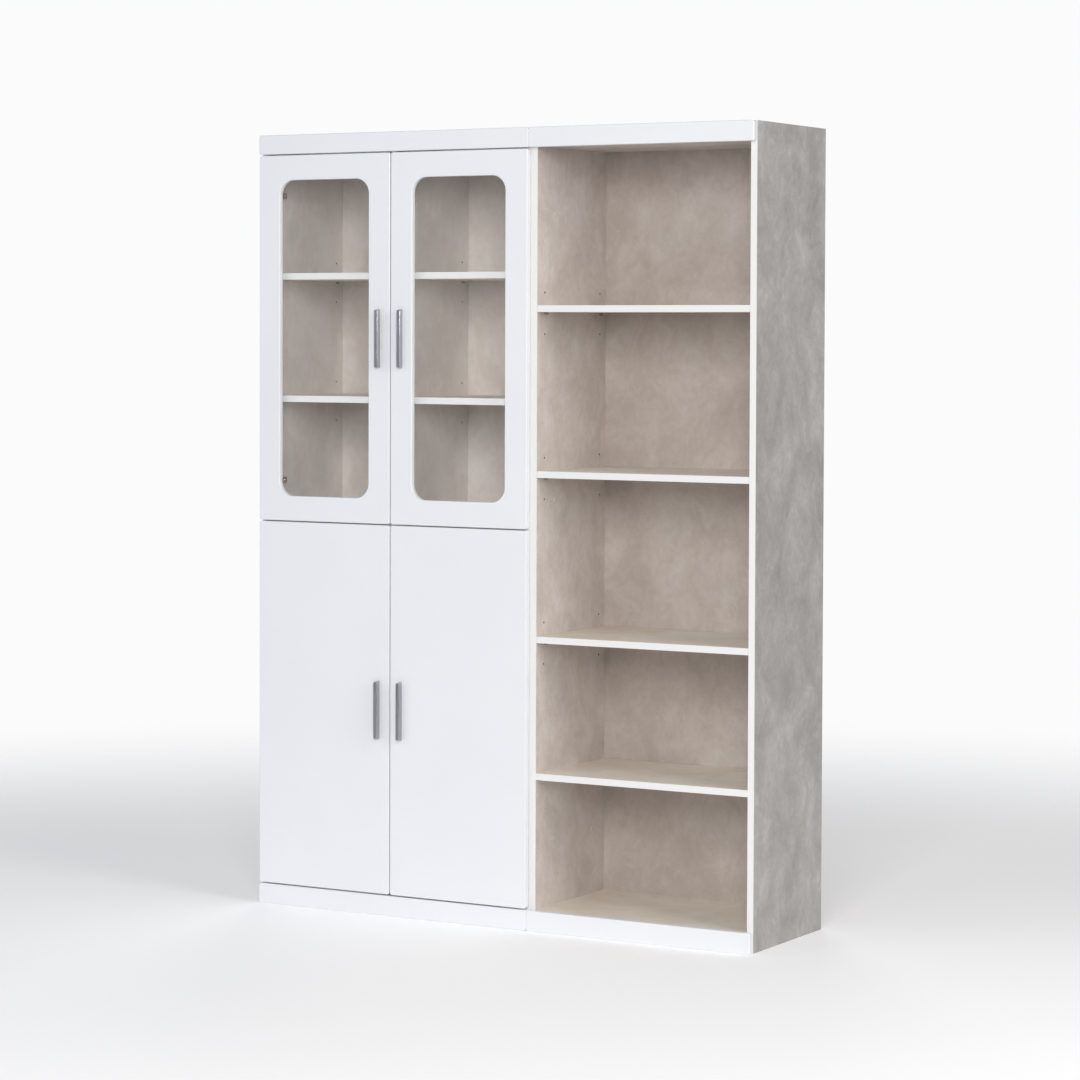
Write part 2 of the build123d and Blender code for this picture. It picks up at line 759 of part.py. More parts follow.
def write_fittings():
    """Cams, bolts, dowels and hinges' fixed parts."""
    boards = list(fixed_boards().values())
    save("carcass_cams", group([c for span, low in boards for c in cams_of(span, low)]))
    save("carcass_cam_bolts", group([b for span, low in boards for b in cam_bolts_of(span, low)]))
    dowels = [d for span, low in boards for d in dowels_of(span, low)]
    save("carcass_dowels", group(dowels + divider_dowels()))
    save("rail_dowels", group(rail_dowels()))
    save("unit_connectors", group(connectors()))
    hinges = [(doors[d][0], z) for d in doors for z in hinge_heights(d)]
    save("hinge_arms", group([hinge_piece(s, z, hinge_arm()) for s, z in hinges]))
    save("hinge_plates", group([hinge_piece(s, z, hinge_plate()) for s, z in hinges]))
    save("hinge_plate_screws", group([hinge_piece(s, z, p) for s, z in hinges for p in plate_screws()]))


def write_door(name):
    """One door with its handle, hinge cups, screws and, if glazed, its pane and clips."""
    side_name, _, _, glazed = doors[name]
    screws = handle_screws(name)
    wood_screws = [s for z in hinge_heights(name) for s in cup_screws(side_name, z)]
    if glazed:
        save(f"{name}_glass", glass_pane(name))
        save(f"{name}_glass_clips", group([glass_clip(*place) for place in clip_places(name)]))
        wood_screws += clip_screws(name)
    save(f"{name}_door", door_panel(name) - wood_screws)
    save(f"{name}_handle", handle(name))
    save(f"{name}_door_screws", group(screws + wood_screws))
    cup_and_pin = (hinge_cup(), pivot_pin_solid())
    cups = [hinge_piece(side_name, z, p) for z in hinge_heights(name) for p in cup_and_pin]
    save(f"{name}_hinge_cups", group(cups))


os.makedirs("parts", exist_ok=True)
write_carcass()
write_fronts()
write_fittings()
for door_name in doors:
    write_door(door_name)
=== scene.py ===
# %% [markdown]
# # A bookcase of two units
# A cabinet with two glazed doors over two solid ones stands beside an open shelf unit.
# The carcass boards are chipboard faced with concrete-look melamine, the doors, rails and
# plinths are moulded board wrapped in white foil, and the handles are satin nickel.
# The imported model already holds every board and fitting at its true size, so this lesson
# gives them their finishes, makes the small hardware again in finer detail, and lights it.

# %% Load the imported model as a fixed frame
import math
import bmesh
import bpy
from mathutils import Matrix, Vector


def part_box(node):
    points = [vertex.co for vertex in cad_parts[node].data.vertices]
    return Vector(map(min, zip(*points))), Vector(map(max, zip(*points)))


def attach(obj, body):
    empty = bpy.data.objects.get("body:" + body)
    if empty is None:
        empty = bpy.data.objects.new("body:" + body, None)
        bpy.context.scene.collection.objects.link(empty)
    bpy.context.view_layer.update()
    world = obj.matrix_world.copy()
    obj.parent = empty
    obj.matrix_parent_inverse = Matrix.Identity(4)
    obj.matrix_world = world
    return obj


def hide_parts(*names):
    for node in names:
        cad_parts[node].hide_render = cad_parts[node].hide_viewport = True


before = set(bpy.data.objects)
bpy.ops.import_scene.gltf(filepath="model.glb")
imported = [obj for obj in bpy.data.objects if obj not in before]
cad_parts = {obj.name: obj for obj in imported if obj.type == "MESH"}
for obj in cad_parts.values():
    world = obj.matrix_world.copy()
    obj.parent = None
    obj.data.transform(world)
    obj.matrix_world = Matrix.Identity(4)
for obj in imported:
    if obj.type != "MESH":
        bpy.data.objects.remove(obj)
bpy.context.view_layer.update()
MM = 0.001      # Blender works in metres

# %% [markdown]
# ## Three small tools for finishes
# A colour is easiest to judge as the hex value that a paint chart gives, but Blender mixes
# light in linear values, so one function turns hex into linear. The second adds a node with
# its settings and its inputs, where an input is a number, a colour or a link. The third
# starts a material with the values that are the same all over it.

# %% Tools for colours and nodes
def colour(hex_value):
    """An sRGB hex value as a linear colour."""
    parts = [int(hex_value[i:i + 2], 16) / 255 for i in (1, 3, 5)]
    return [p / 12.92 if p <= 0.04045 else ((p + 0.055) / 1.055) ** 2.4 for p in parts] + [1.0]


def add(tree, kind, inputs=None, **settings):
    """Adds a node. inputs holds a value or an output to link for each input socket."""
    made = tree.nodes.new(kind)
    for name, value in settings.items():
        setattr(made, name, value)
    for name, value in (inputs or {}).items():
        if isinstance(value, bpy.types.NodeSocket):
            tree.links.new(value, made.inputs[name])
        else:
            made.inputs[name].default_value = value
    return made


def finish(name, **surface):
    """A new material with its shader's constant values, and its node tree."""
    material = bpy.data.materials.new(name)
    material.use_nodes = True
    shader = material.node_tree.nodes["Principled BSDF"]
    for socket, value in surface.items():
        shader.inputs[socket.replace("_", " ")].default_value = value
    return material, material.node_tree, shader


print("white in linear values:", [round(c, 3) for c in colour("#f2f3f5")])

# %% [markdown]
# ## The print on the melamine
# Melamine board is chipboard under a sheet of printed paper, pressed hot with resin. Here
# the print is cast concrete: soft clouds about a hand wide, a little taller than wide,
# with a fine sandy grain and short pale scrapes, as a trowel leaves. An image could give
# that, but it would repeat on boards this tall. Noise never does: one at 110 mm makes the
# clouds, a finer one breaks them up, and the peaks of a bent one are the scrapes. The
# paper's own grain is about 0.3 mm. It is drawn at 3 mm here, or it would not show.

# %% The print, as a function of its colours
CLOUD, GRAIN, SCRAPE = 110 * MM, 3 * MM, 22 * MM
UPRIGHT = (1, 1, 0.8)                # less in Z makes the clouds taller than wide
WISP_SHARE, GRAIN_SHARE = 0.34, 0.08
TONE_STOPS = (0.34, 0.46, 0.54, 0.66)    # noise keeps near its middle, so the tones sit there


def concrete_print(tree, hexes, cloud=CLOUD, offset=0.0):
    """The clouds, scrapes and grain of the printed sheet: its colour and its height."""
    place = add(tree, "ShaderNodeTexCoord").outputs["Object"]
    upright = add(tree, "ShaderNodeMapping", {
        "Vector": place, "Location": (offset, offset, offset), "Scale": UPRIGHT}).outputs[0]
    clouds = add(tree, "ShaderNodeTexNoise", {
        "Vector": upright, "Scale": 1 / cloud, "Detail": 6.0, "Roughness": 0.62, "Distortion": 0.5})
    wisps = add(tree, "ShaderNodeTexNoise", {
        "Vector": upright, "Scale": 4 / cloud, "Detail": 4.0, "Roughness": 0.7, "Distortion": 1.6})
    grain = add(tree, "ShaderNodeTexNoise", {
        "Vector": place, "Scale": 1 / GRAIN, "Detail": 2.0, "Roughness": 0.6})
    mixed = add(tree, "ShaderNodeMix", {
        0: WISP_SHARE, 2: clouds.outputs[0], 3: wisps.outputs[0]}, data_type="FLOAT")
    sandy = add(tree, "ShaderNodeMix", {
        0: GRAIN_SHARE, 2: mixed.outputs[0], 3: grain.outputs[0]}, data_type="FLOAT")
    ramp = add(tree, "ShaderNodeValToRGB", {0: sandy.outputs[0]})
    stops = ramp.color_ramp.elements
    while len(stops) < len(TONE_STOPS):
        stops.new(0.5)
    for stop, position, value in zip(stops, TONE_STOPS, hexes):
        stop.position, stop.color = position, colour(value)
    bent = add(tree, "ShaderNodeTexNoise", {
        "Vector": upright, "Scale": 1 / SCRAPE, "Detail": 3.0, "Roughness": 0.6, "Distortion": 2.2})
    scraped = add(tree, "ShaderNodeMapRange", {"Value": bent.outputs[0], 1: 0.6, 2: 0.78, 4: 0.55})
    worn = add(tree, "ShaderNodeMix", {
        0: scraped.outputs[0], 6: ramp.outputs[0], 7: colour(hexes[-1])}, data_type="RGBA")
    return worn.outputs[2], sandy.outputs[0]


print("concrete clouds are", round(CLOUD / MM), "mm wide, scrapes", round(SCRAPE / MM), "mm")

# %% [markdown]
# ## Chipboard in the holes
# A drill goes through the print, so each shelf-pin hole shows brown chips in its wall and
# reads as a dark dot. The wall of a hole in a side board looks along the board, and so
# do the board's four edges. A colour for the wall alone therefore needs two tests: which
# way the surface looks, and whether it lies well inside the four edges.

# %% Chips where a board is bored
CHIP = 1.5 * MM
BORED_DEPTH = 160 * MM                     # holes lie within this of the middle, front to back
BORED_MIDDLE, BORED_REACH = 0.94, 0.93     # and within this reach of this height, in metres


def bored_chips(tree, tint):
    """Brown chips on the walls of holes in a side board, and the given tint elsewhere."""
    facing = add(tree, "ShaderNodeNewGeometry").outputs["Normal"]
    place = add(tree, "ShaderNodeTexCoord").outputs["Object"]
    across = add(tree, "ShaderNodeSeparateXYZ", {0: facing}).outputs["X"]
    at = add(tree, "ShaderNodeSeparateXYZ", {0: place})
    looks = add(tree, "ShaderNodeMath", {0: across, 1: 0.0, 2: 0.5}, operation="COMPARE")
    deep = add(tree, "ShaderNodeMath", {
        0: at.outputs["Y"], 1: 0.0, 2: BORED_DEPTH}, operation="COMPARE")
    level = add(tree, "ShaderNodeMath", {
        0: at.outputs["Z"], 1: BORED_MIDDLE, 2: BORED_REACH}, operation="COMPARE")
    both = add(tree, "ShaderNodeMath", {
        0: looks.outputs[0], 1: deep.outputs[0]}, operation="MULTIPLY")
    inside = add(tree, "ShaderNodeMath", {
        0: both.outputs[0], 1: level.outputs[0]}, operation="MULTIPLY")
    chips = add(tree, "ShaderNodeTexVoronoi", {"Vector": place, "Scale": 1 / CHIP})
    wood = add(tree, "ShaderNodeValToRGB", {0: chips.outputs["Distance"]})
    wood.color_ramp.elements[0].color = colour("#5d4530")
    wood.color_ramp.elements[1].color = colour("#8a6a4a")
    return add(tree, "ShaderNodeMix", {
        0: inside.outputs[0], 6: tint, 7: wood.outputs[0]}, data_type="RGBA").outputs[2]


print("chips are", round(CHIP / MM, 1), "mm across")

# %% [markdown]
# ## Melamine boards
# The same print comes in several tones: a warm grey inside and a cream one on the shelves.
# The outer faces of the two outer sides take a cooler, darker grey, which is painted shade,
# and the cabinet's boards a paler one, which is painted light; the real sheet is the same.
# Resin makes the surface matt, and the press leaves a faint texture, so roughness and bump
# follow the print. An outer side board has both tones on one part, so the way a face looks chooses
# between them.

# %% The five melamine finishes
INNER_GREYS = ("#c3bab4", "#cec5bf", "#d6cec9", "#e2dbd7")
# Painted shade: the outer faces are the same sheet, made darker as if less light fell on them.
OUTER_SHADE_GREYS = ("#989593", "#a7a3a1", "#b1aeac", "#c4c2c0")
# Painted light: the cabinet's boards are the same sheet made paler, to make up for light that the
# panes and their small openings keep out.
CABINET_PAINTED_LIGHT_GREYS = ("#d5ccc6", "#dfd7d1", "#e5ded9", "#ece7e3")
SHELF_CREAMS = ("#dfd5c8", "#e5dccf", "#e9e2d7", "#efe9e0")


def melamine(name, hexes, offset=0.0, outside=None, upright=True):
    """Matt melamine board. outside is the way (+1 or -1 along X) of its outer face, which is
    painted darker as shade.
    """
    material, tree, shader = finish(name, Roughness=0.55, IOR=1.5)
    tint, height = concrete_print(tree, hexes, offset=offset)
    if upright:
        tint = bored_chips(tree, tint)
    if outside:
        # The outer faces take the darker grey as painted shade.
        shade_grey, _ = concrete_print(tree, OUTER_SHADE_GREYS, offset=offset)
        facing = add(tree, "ShaderNodeNewGeometry").outputs["Normal"]
        across = add(tree, "ShaderNodeSeparateXYZ", {0: facing}).outputs["X"]
        outer_shade_mask = add(tree, "ShaderNodeMapRange", {
            "Value": across, 1: 0.4 * outside, 2: 0.6 * outside})
        tint = add(tree, "ShaderNodeMix", {
            0: outer_shade_mask.outputs[0], 6: tint, 7: shade_grey}, data_type="RGBA").outputs[2]
    sheen = add(tree, "ShaderNodeMapRange", {"Value": height, 3: 0.62, 4: 0.46})
    press = add(tree, "ShaderNodeBump", {"Height": height, "Strength": 0.25, "Distance": 0.4 * MM})
    tree.links.new(tint, shader.inputs["Base Color"])
    tree.links.new(sheen.outputs[0], shader.inputs["Roughness"])
    tree.links.new(press.outputs[0], shader.inputs["Normal"])
    print(name, "has", len(tree.nodes), "nodes")
    return material


concrete_melamine = melamine("concrete_melamine", INNER_GREYS)
# The two outer side boards carry painted shade on their outer faces.
right_melamine = melamine("concrete_melamine_right_side", INNER_GREYS, outside=1)
left_melamine = melamine("concrete_melamine_left_side", CABINET_PAINTED_LIGHT_GREYS, outside=-1)
# The cabinet's boards are paler as painted light.
cabinet_painted_light_melamine = melamine("concrete_melamine_cabinet", CABINET_PAINTED_LIGHT_GREYS, 1.9)
shelf_melamine = melamine("shelf_melamine", SHELF_CREAMS, 3.7, upright=False)

# %% [markdown]
# ## The back board
# The back is 4 mm hardboard. Its front is printed like the carcass, a little softer. Its
# rear is bare brown fibre with the mark of the mesh it was pressed on. The real mesh is
# about 1.5 mm, drawn at 4 mm here so that it shows. The two faces are one part again, so
# the face that looks to the wall is the raw one.

# %% Printed hardboard with a raw rear
def hardboard(name, hexes):
    """Printed on the side that looks into the unit, and raw fibre on the other."""
    material, tree, shader = finish(name, Roughness=0.6, IOR=1.5)
    printed, print_height = concrete_print(tree, hexes, 150 * MM, 7.1)
    place = add(tree, "ShaderNodeTexCoord").outputs["Object"]
    facing = add(tree, "ShaderNodeNewGeometry").outputs["Normal"]
    rear = add(tree, "ShaderNodeSeparateXYZ", {0: facing}).outputs["Y"]
    rear_mask = add(tree, "ShaderNodeMapRange", {"Value": rear, 1: 0.4, 2: 0.6})
    fibre = add(tree, "ShaderNodeTexNoise", {"Vector": place, "Scale": 1 / (6 * MM), "Detail": 5.0})
    mesh_u = add(tree, "ShaderNodeTexWave", {
        "Vector": place, "Scale": 1 / (4 * MM)}, bands_direction="X")
    mesh_v = add(tree, "ShaderNodeTexWave", {
        "Vector": place, "Scale": 1 / (4 * MM)}, bands_direction="Z")
    weave = add(tree, "ShaderNodeMath", {
        0: mesh_u.outputs[1], 1: mesh_v.outputs[1]}, operation="MULTIPLY")
    raw = add(tree, "ShaderNodeValToRGB", {0: fibre.outputs[0]})
    raw.color_ramp.elements[0].color = colour("#6b4a32")
    raw.color_ramp.elements[1].color = colour("#9a7552")
    sides = add(tree, "ShaderNodeMix", {
        0: rear_mask.outputs[0], 6: printed, 7: raw.outputs[0]}, data_type="RGBA")
    relief = add(tree, "ShaderNodeMix", {
        0: rear_mask.outputs[0], 2: print_height, 3: weave.outputs[0]}, data_type="FLOAT")
    bump = add(tree, "ShaderNodeBump", {
        "Height": relief.outputs[0], "Strength": 0.3, "Distance": 0.3 * MM})
    tree.links.new(sides.outputs[2], shader.inputs["Base Color"])
    tree.links.new(bump.outputs[0], shader.inputs["Normal"])
    print(name, "has", len(tree.nodes), "nodes")
    return material


back_print = hardboard("printed_hardboard", ("#b2a79f", "#bcb1aa", "#c4bab3", "#cfc7c1"))
# The cabinet's back is paler as painted light, to make up for light that the panes keep out.
cabinet_painted_light_print = hardboard("printed_hardboard_cabinet", ("#d6cbc4", "#e0d6d0", "#e6dfda", "#ece7e3"))

# %% [markdown]
# ## White foil on moulded board
# Doors, rails and plinths are fibreboard with their edges rounded by a cutter, then
# wrapped in a white PVC foil drawn down by vacuum. It is satin, and the board's fibres
# show through it as a very low orange peel, a few millimetres across.

# %% White foil
PEEL = 5 * MM
white_foil, tree, shader = finish("white_foil", Roughness=0.36, IOR=1.52, Coat_Weight=0.12,
                                  Coat_Roughness=0.22)
place = add(tree, "ShaderNodeTexCoord").outputs["Object"]
peel = add(tree, "ShaderNodeTexNoise", {"Vector": place, "Scale": 1 / PEEL, "Detail": 3.0})
drift = add(tree, "ShaderNodeTexNoise", {"Vector": place, "Scale": 1 / (300 * MM), "Detail": 2.0})
tone = add(tree, "ShaderNodeValToRGB", {0: drift.outputs[0]})
tone.color_ramp.elements[0].color = colour("#e9ebef")
tone.color_ramp.elements[1].color = colour("#f0f2f5")
satin = add(tree, "ShaderNodeMapRange", {"Value": peel.outputs[0], 3: 0.33, 4: 0.41})
low_peel = add(tree, "ShaderNodeBump", {"Height": peel.outputs[0], "Strength": 0.06,
                                        "Distance": 0.2 * MM})
tree.links.new(tone.outputs[0], shader.inputs["Base Color"])
tree.links.new(satin.outputs[0], shader.inputs["Roughness"])
tree.links.new(low_peel.outputs[0], shader.inputs["Normal"])
print("foil peel is", round(PEEL / MM), "mm wide")

# %% [markdown]
# ## White edge band
# A 1 mm ABS strip is glued to each board's front edge and trimmed flush with a scraper.
# It has no print. Faint noise at 4 mm in its tone and height stands for the scraper's marks.

# %% ABS edge band
edge_band, tree, shader = finish("abs_edge_band", Roughness=0.42, IOR=1.53)
place = add(tree, "ShaderNodeTexCoord").outputs["Object"]
scraped = add(tree, "ShaderNodeTexNoise", {"Vector": place, "Scale": 1 / (4 * MM), "Detail": 4.0})
tone = add(tree, "ShaderNodeValToRGB", {0: scraped.outputs[0]})
tone.color_ramp.elements[0].color = colour("#e8e8e6")
tone.color_ramp.elements[1].color = colour("#f2f2f1")
lines = add(tree, "ShaderNodeBump", {"Height": scraped.outputs[0], "Strength": 0.08,
                                     "Distance": 0.1 * MM})
tree.links.new(tone.outputs[0], shader.inputs["Base Color"])
tree.links.new(lines.outputs[0], shader.inputs["Normal"])
print("edge band has", len(tree.nodes), "nodes")

# %% [markdown]
# ## Float glass
# The panes are 4 mm of clear float glass, so thin that the iron's green hardly shows. It
# is nearly perfectly smooth, so the roughness only carries the faintest wiping marks.
# Rendered glass casts too dark a shadow, because light that bends through it is hard to
# find. So the rays that carry lamps' light, and light from matt surfaces, pass straight
# through a clear stand-in, and the shelves behind are lit as if no pane were there. A real
# pane takes away a little of that light.

# %% Clear float glass
float_glass, tree, shader = finish("float_glass", IOR=1.5, Transmission_Weight=1.0)
shader.inputs["Base Color"].default_value = colour("#fefefe")
place = add(tree, "ShaderNodeTexCoord").outputs["Object"]
wiped = add(tree, "ShaderNodeTexNoise", {"Vector": place, "Scale": 1 / (60 * MM), "Detail": 4.0})
clean = add(tree, "ShaderNodeMapRange", {"Value": wiped.outputs[0], 3: 0.0, 4: 0.025})
tree.links.new(clean.outputs[0], shader.inputs["Roughness"])
rays = add(tree, "ShaderNodeLightPath").outputs
lighting = add(tree, "ShaderNodeMath", {
    0: rays["Is Shadow Ray"], 1: rays["Is Diffuse Ray"]}, operation="MAXIMUM")
clear = add(tree, "ShaderNodeBsdfTransparent", {"Color": colour("#feffff")})
through = add(tree, "ShaderNodeMixShader", {
    0: lighting.outputs[0], 1: shader.outputs[0], 2: clear.outputs[0]})
tree.links.new(through.outputs[0], tree.nodes["Material Output"].inputs["Surface"])
print("glass index", round(shader.inputs["IOR"].default_value, 2))

# %% [markdown]
# ## Clear plastic clips
# Small moulded polycarbonate clips hold the panes. The plastic is milky and lets some
# light through, which subsurface scattering at a millimetre gives.

# %% Clip plastic
clip_plastic, tree, shader = finish("moulded_clip_plastic", IOR=1.58, Roughness=0.3,
                                    Subsurface_Weight=0.4, Subsurface_Scale=1 * MM)
place = add(tree, "ShaderNodeTexCoord").outputs["Object"]
flow = add(tree, "ShaderNodeTexNoise", {"Vector": place, "Scale": 1 / (3 * MM), "Detail": 2.0})
tone = add(tree, "ShaderNodeValToRGB", {0: flow.outputs[0]})
tone.color_ramp.elements[0].color = colour("#dfe1e2")
tone.color_ramp.elements[1].color = colour("#eceeee")
tree.links.new(tone.outputs[0], shader.inputs["Base Color"])
print("clip plastic has", len(tree.nodes), "nodes")

# %% [markdown]
# ## Metals
# The handles are zinc castings with a satin nickel coat: brushed lengthwise, then
# lacquered. The hinges are pressed steel with bright nickel plate, and the cams, bolts
# and screws are zinc plated, which is bluer and patchier. Each is one function of its
# two greys, its roughness and how far its brushing is stretched.

# %% A plated metal, as a function of its finish
def plated(name, hexes, rough, stretch, size, depth):
    """Metal with a fine surface pattern of that size, stretched along Z."""
    material, tree, shader = finish(name, Metallic=1.0)
    place = add(tree, "ShaderNodeTexCoord").outputs["Object"]
    along = add(tree, "ShaderNodeMapping", {"Vector": place, "Scale": (1, 1, stretch)})
    marks = add(tree, "ShaderNodeTexNoise", {"Vector": along.outputs[0], "Scale": 1 / size,
                                             "Detail": 4.0, "Roughness": 0.6})
    tone = add(tree, "ShaderNodeValToRGB", {0: marks.outputs[0]})
    tone.color_ramp.elements[0].position, tone.color_ramp.elements[1].position = 0.3, 0.7
    tone.color_ramp.elements[0].color = colour(hexes[0])
    tone.color_ramp.elements[1].color = colour(hexes[1])
    dull = add(tree, "ShaderNodeMapRange", {"Value": marks.outputs[0], 1: 0.3, 2: 0.7,
                                            3: rough[0], 4: rough[1]})
    cut = add(tree, "ShaderNodeBump", {"Height": marks.outputs[0], "Strength": 0.15,
                                       "Distance": depth})
    tree.links.new(tone.outputs[0], shader.inputs["Base Color"])
    tree.links.new(dull.outputs[0], shader.inputs["Roughness"])
    tree.links.new(cut.outputs[0], shader.inputs["Normal"])
    return material


satin_nickel = plated("satin_nickel", ("#a8aaaf", "#bcbec3"), (0.26, 0.36),
                      0.04, 1.2 * MM, 0.05 * MM)
bright_nickel = plated("bright_nickel_plate", ("#b9b6b0", "#cbc9c4"), (0.16, 0.26),
                       1.0, 8 * MM, 0.05 * MM)
zinc_plate = plated("zinc_plate", ("#a5a9b0", "#c3c6cb"), (0.28, 0.45), 1.0, 3 * MM, 0.03 * MM)
print("metals:", satin_nickel.name, bright_nickel.name, zinc_plate.name)

# %% [markdown]
# ## Beech
# The dowels are turned beech, pale pink-brown, with short dark flecks along the grain.

# %% Beech
beech, tree, shader = finish("beech", Roughness=0.6)
place = add(tree, "ShaderNodeTexCoord").outputs["Object"]
along = add(tree, "ShaderNodeMapping", {"Vector": place, "Scale": (0.2, 1, 1)})
fleck = add(tree, "ShaderNodeTexNoise", {
    "Vector": along.outputs[0], "Scale": 1 / (1.5 * MM), "Detail": 3.0})
tone = add(tree, "ShaderNodeValToRGB", {0: fleck.outputs[0]})
tone.color_ramp.elements[0].color = colour("#a97f57")
tone.color_ramp.elements[1].color = colour("#d4ae84")
tree.links.new(tone.outputs[0], shader.inputs["Base Color"])
print("beech has", len(tree.nodes), "nodes")

# %% [markdown]
# ## Painted connector heads
# The screws that join the two units show inside the bays, so their heads are painted the
# tone of the board. Paint sprayed on steel is satin, and mottled over a few millimetres.

# %% Painted heads
painted_heads, tree, shader = finish("painted_heads", Roughness=0.45)
place = add(tree, "ShaderNodeTexCoord").outputs["Object"]
spray = add(tree, "ShaderNodeTexNoise", {"Vector": place, "Scale": 1 / (4 * MM), "Detail": 3.0})
tone = add(tree, "ShaderNodeValToRGB", {0: spray.outputs[0]})
tone.color_ramp.elements[0].color = colour("#cbc2bc")
tone.color_ramp.elements[1].color = colour("#d9d1cb")
tree.links.new(tone.outputs[0], shader.inputs["Base Color"])
print("painted heads have", len(tree.nodes), "nodes")

# %% [markdown]
# ## Dress the boards and fittings
# Each part of the imported model names the finish it takes. The shelves and the floors of
# the two units take the cream sheet, the cabinet's other boards the paler one, which is painted
# light, and four parts have a finish of their own.

# %% Give every part its finish
finishes = {
    "carcass_laminate": concrete_melamine, "back_board": back_print, "white_front": white_foil,
    "white_edge_band": edge_band, "clear_glass": float_glass, "clip_plastic": clip_plastic,
    "satin_metal": satin_nickel, "nickel_plate": bright_nickel, "zinc_cam": zinc_plate,
    "beech_dowel": beech,
}
OWN_FINISH = {
    "cabinet_back_panel": cabinet_painted_light_print, "unit_connectors": painted_heads,
    "open_right_side": right_melamine, "cabinet_left_side": left_melamine,
}
CREAM_BOARDS = ("shelf_1", "shelf_2", "shelf_3", "_shelf", "bottom_panel")
creamy = 0
for name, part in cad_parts.items():
    for place in part.material_slots:
        wanted = finishes[place.material.name.split(".")[0]]
        if wanted == concrete_melamine and name.endswith(CREAM_BOARDS):
            wanted, creamy = shelf_melamine, creamy + 1
        # The cabinet's other boards take the paler sheet, which is painted light.
        elif wanted == concrete_melamine and name.startswith("cabinet"):
            wanted = cabinet_painted_light_melamine
        place.material = OWN_FINISH.get(name, wanted)
print(creamy, "cream boards of", len(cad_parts), "parts")

# %% [markdown]
# ## Where the screws are
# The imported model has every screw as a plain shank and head. Each one's place and length
# are read from its own box. Its mesh is merged in a copy first, so that the pieces that
# belong together can be found by walking along their edges.

# %% Find the separate pieces of a part
def pieces_of(node):
    """The (low, high) corners of each separate piece in a node."""
    merged = bmesh.new()
    merged.from_mesh(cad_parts[node].data)
    bmesh.ops.remove_doubles(merged, verts=merged.verts, dist=0.001 * MM)
    left, boxes = set(merged.verts), []
    while left:
        waiting, found = [left.pop()], []
        while waiting:
            vert = waiting.pop()
            found.append(vert.co.copy())
            for edge in vert.link_edges:
                other = edge.other_vert(vert)
                if other in left:
                    left.remove(other)
                    waiting.append(other)
        boxes.append((Vector(map(min, *found)), Vector(map(max, *found))))
    merged.free()
    return sorted(boxes, key=lambda b: tuple(round(c, 5) for c in b[0]))


plate_screws = pieces_of("hinge_plate_screws")
print(len(plate_screws), "hinge plate screws, each",
      round((plate_screws[0][1].x - plate_screws[0][0].x) / MM, 1), "mm long")

# %% [markdown]
# ## A screw's head
# A furniture screw has a turned head with a low dome. Screws repeat many times in a few
# sizes, so Geometry Nodes make one from named sizes. A cylinder's top is made of rings,
# and each of its points is lifted by a share that falls off with the square of its
# distance from the middle, which is a dome.

# %% The head of the screw tree
HEAD_SIDES, HEAD_RINGS = 32, 5


def tree_with(name, sizes):
    """A geometry tree with points, named sizes and a finish going in, and its sockets."""
    tree = bpy.data.node_groups.new(name, "GeometryNodeTree")
    tree.interface.new_socket("Points", in_out="INPUT", socket_type="NodeSocketGeometry")
    for size in sizes:
        tree.interface.new_socket(size, in_out="INPUT", socket_type="NodeSocketFloat")
    tree.interface.new_socket("Finish", in_out="INPUT", socket_type="NodeSocketMaterial")
    tree.interface.new_socket("Pieces", in_out="OUTPUT", socket_type="NodeSocketGeometry")
    return tree, tree.nodes.new("NodeGroupInput").outputs


screw_tree, size = tree_with("cross_head_screw", (
    "Head radius", "Head height", "Dome", "Core radius", "Shank length", "Thread pitch"))
tree = screw_tree
blank = add(tree, "GeometryNodeMeshCylinder", {
    "Vertices": HEAD_SIDES, "Fill Segments": HEAD_RINGS, "Radius": size["Head radius"],
    "Depth": size["Head height"]}, fill_type="TRIANGLE_FAN")
half_high = add(tree, "ShaderNodeMath", {0: size["Head height"], 1: 0.5}, operation="MULTIPLY")
lift = add(tree, "ShaderNodeCombineXYZ", {"Z": half_high.outputs[0]})
head = add(tree, "GeometryNodeTransform", {
    "Geometry": blank.outputs["Mesh"], "Translation": lift.outputs[0]})
here = add(tree, "GeometryNodeInputPosition").outputs[0]
flat = add(tree, "ShaderNodeVectorMath", {0: here, 1: (1, 1, 0)}, operation="MULTIPLY")
out = add(tree, "ShaderNodeVectorMath", {0: flat.outputs[0]}, operation="LENGTH")
share = add(tree, "ShaderNodeMath", {
    0: out.outputs["Value"], 1: size["Head radius"]}, operation="DIVIDE")
square = add(tree, "ShaderNodeMath", {0: share.outputs[0], 1: 2.0}, operation="POWER")
fall = add(tree, "ShaderNodeMath", {0: 1.0, 1: square.outputs[0]}, operation="SUBTRACT")
rise = add(tree, "ShaderNodeMath", {0: fall.outputs[0], 1: size["Dome"]}, operation="MULTIPLY")
offset = add(tree, "ShaderNodeCombineXYZ", {"Z": rise.outputs[0]})
domed = add(tree, "GeometryNodeSetPosition", {
    "Geometry": head.outputs[0], "Selection": blank.outputs["Top"], "Offset": offset.outputs[0]})
print("the head takes", len(tree.nodes), "nodes")

# %% [markdown]
# ## The cross recess
# A driver's cross is two blocks across each other, cut out of a head. It could be drawn
# face by face, but a cut keeps true for a head of any size, and the cams need one as well.

# %% Cut the cross
CROSS_REACH, CROSS_WIDTH = 1.2, 0.28    # shares of the head's radius
CROSS_DEPTH = 0.7                       # share of the head's height with its dome


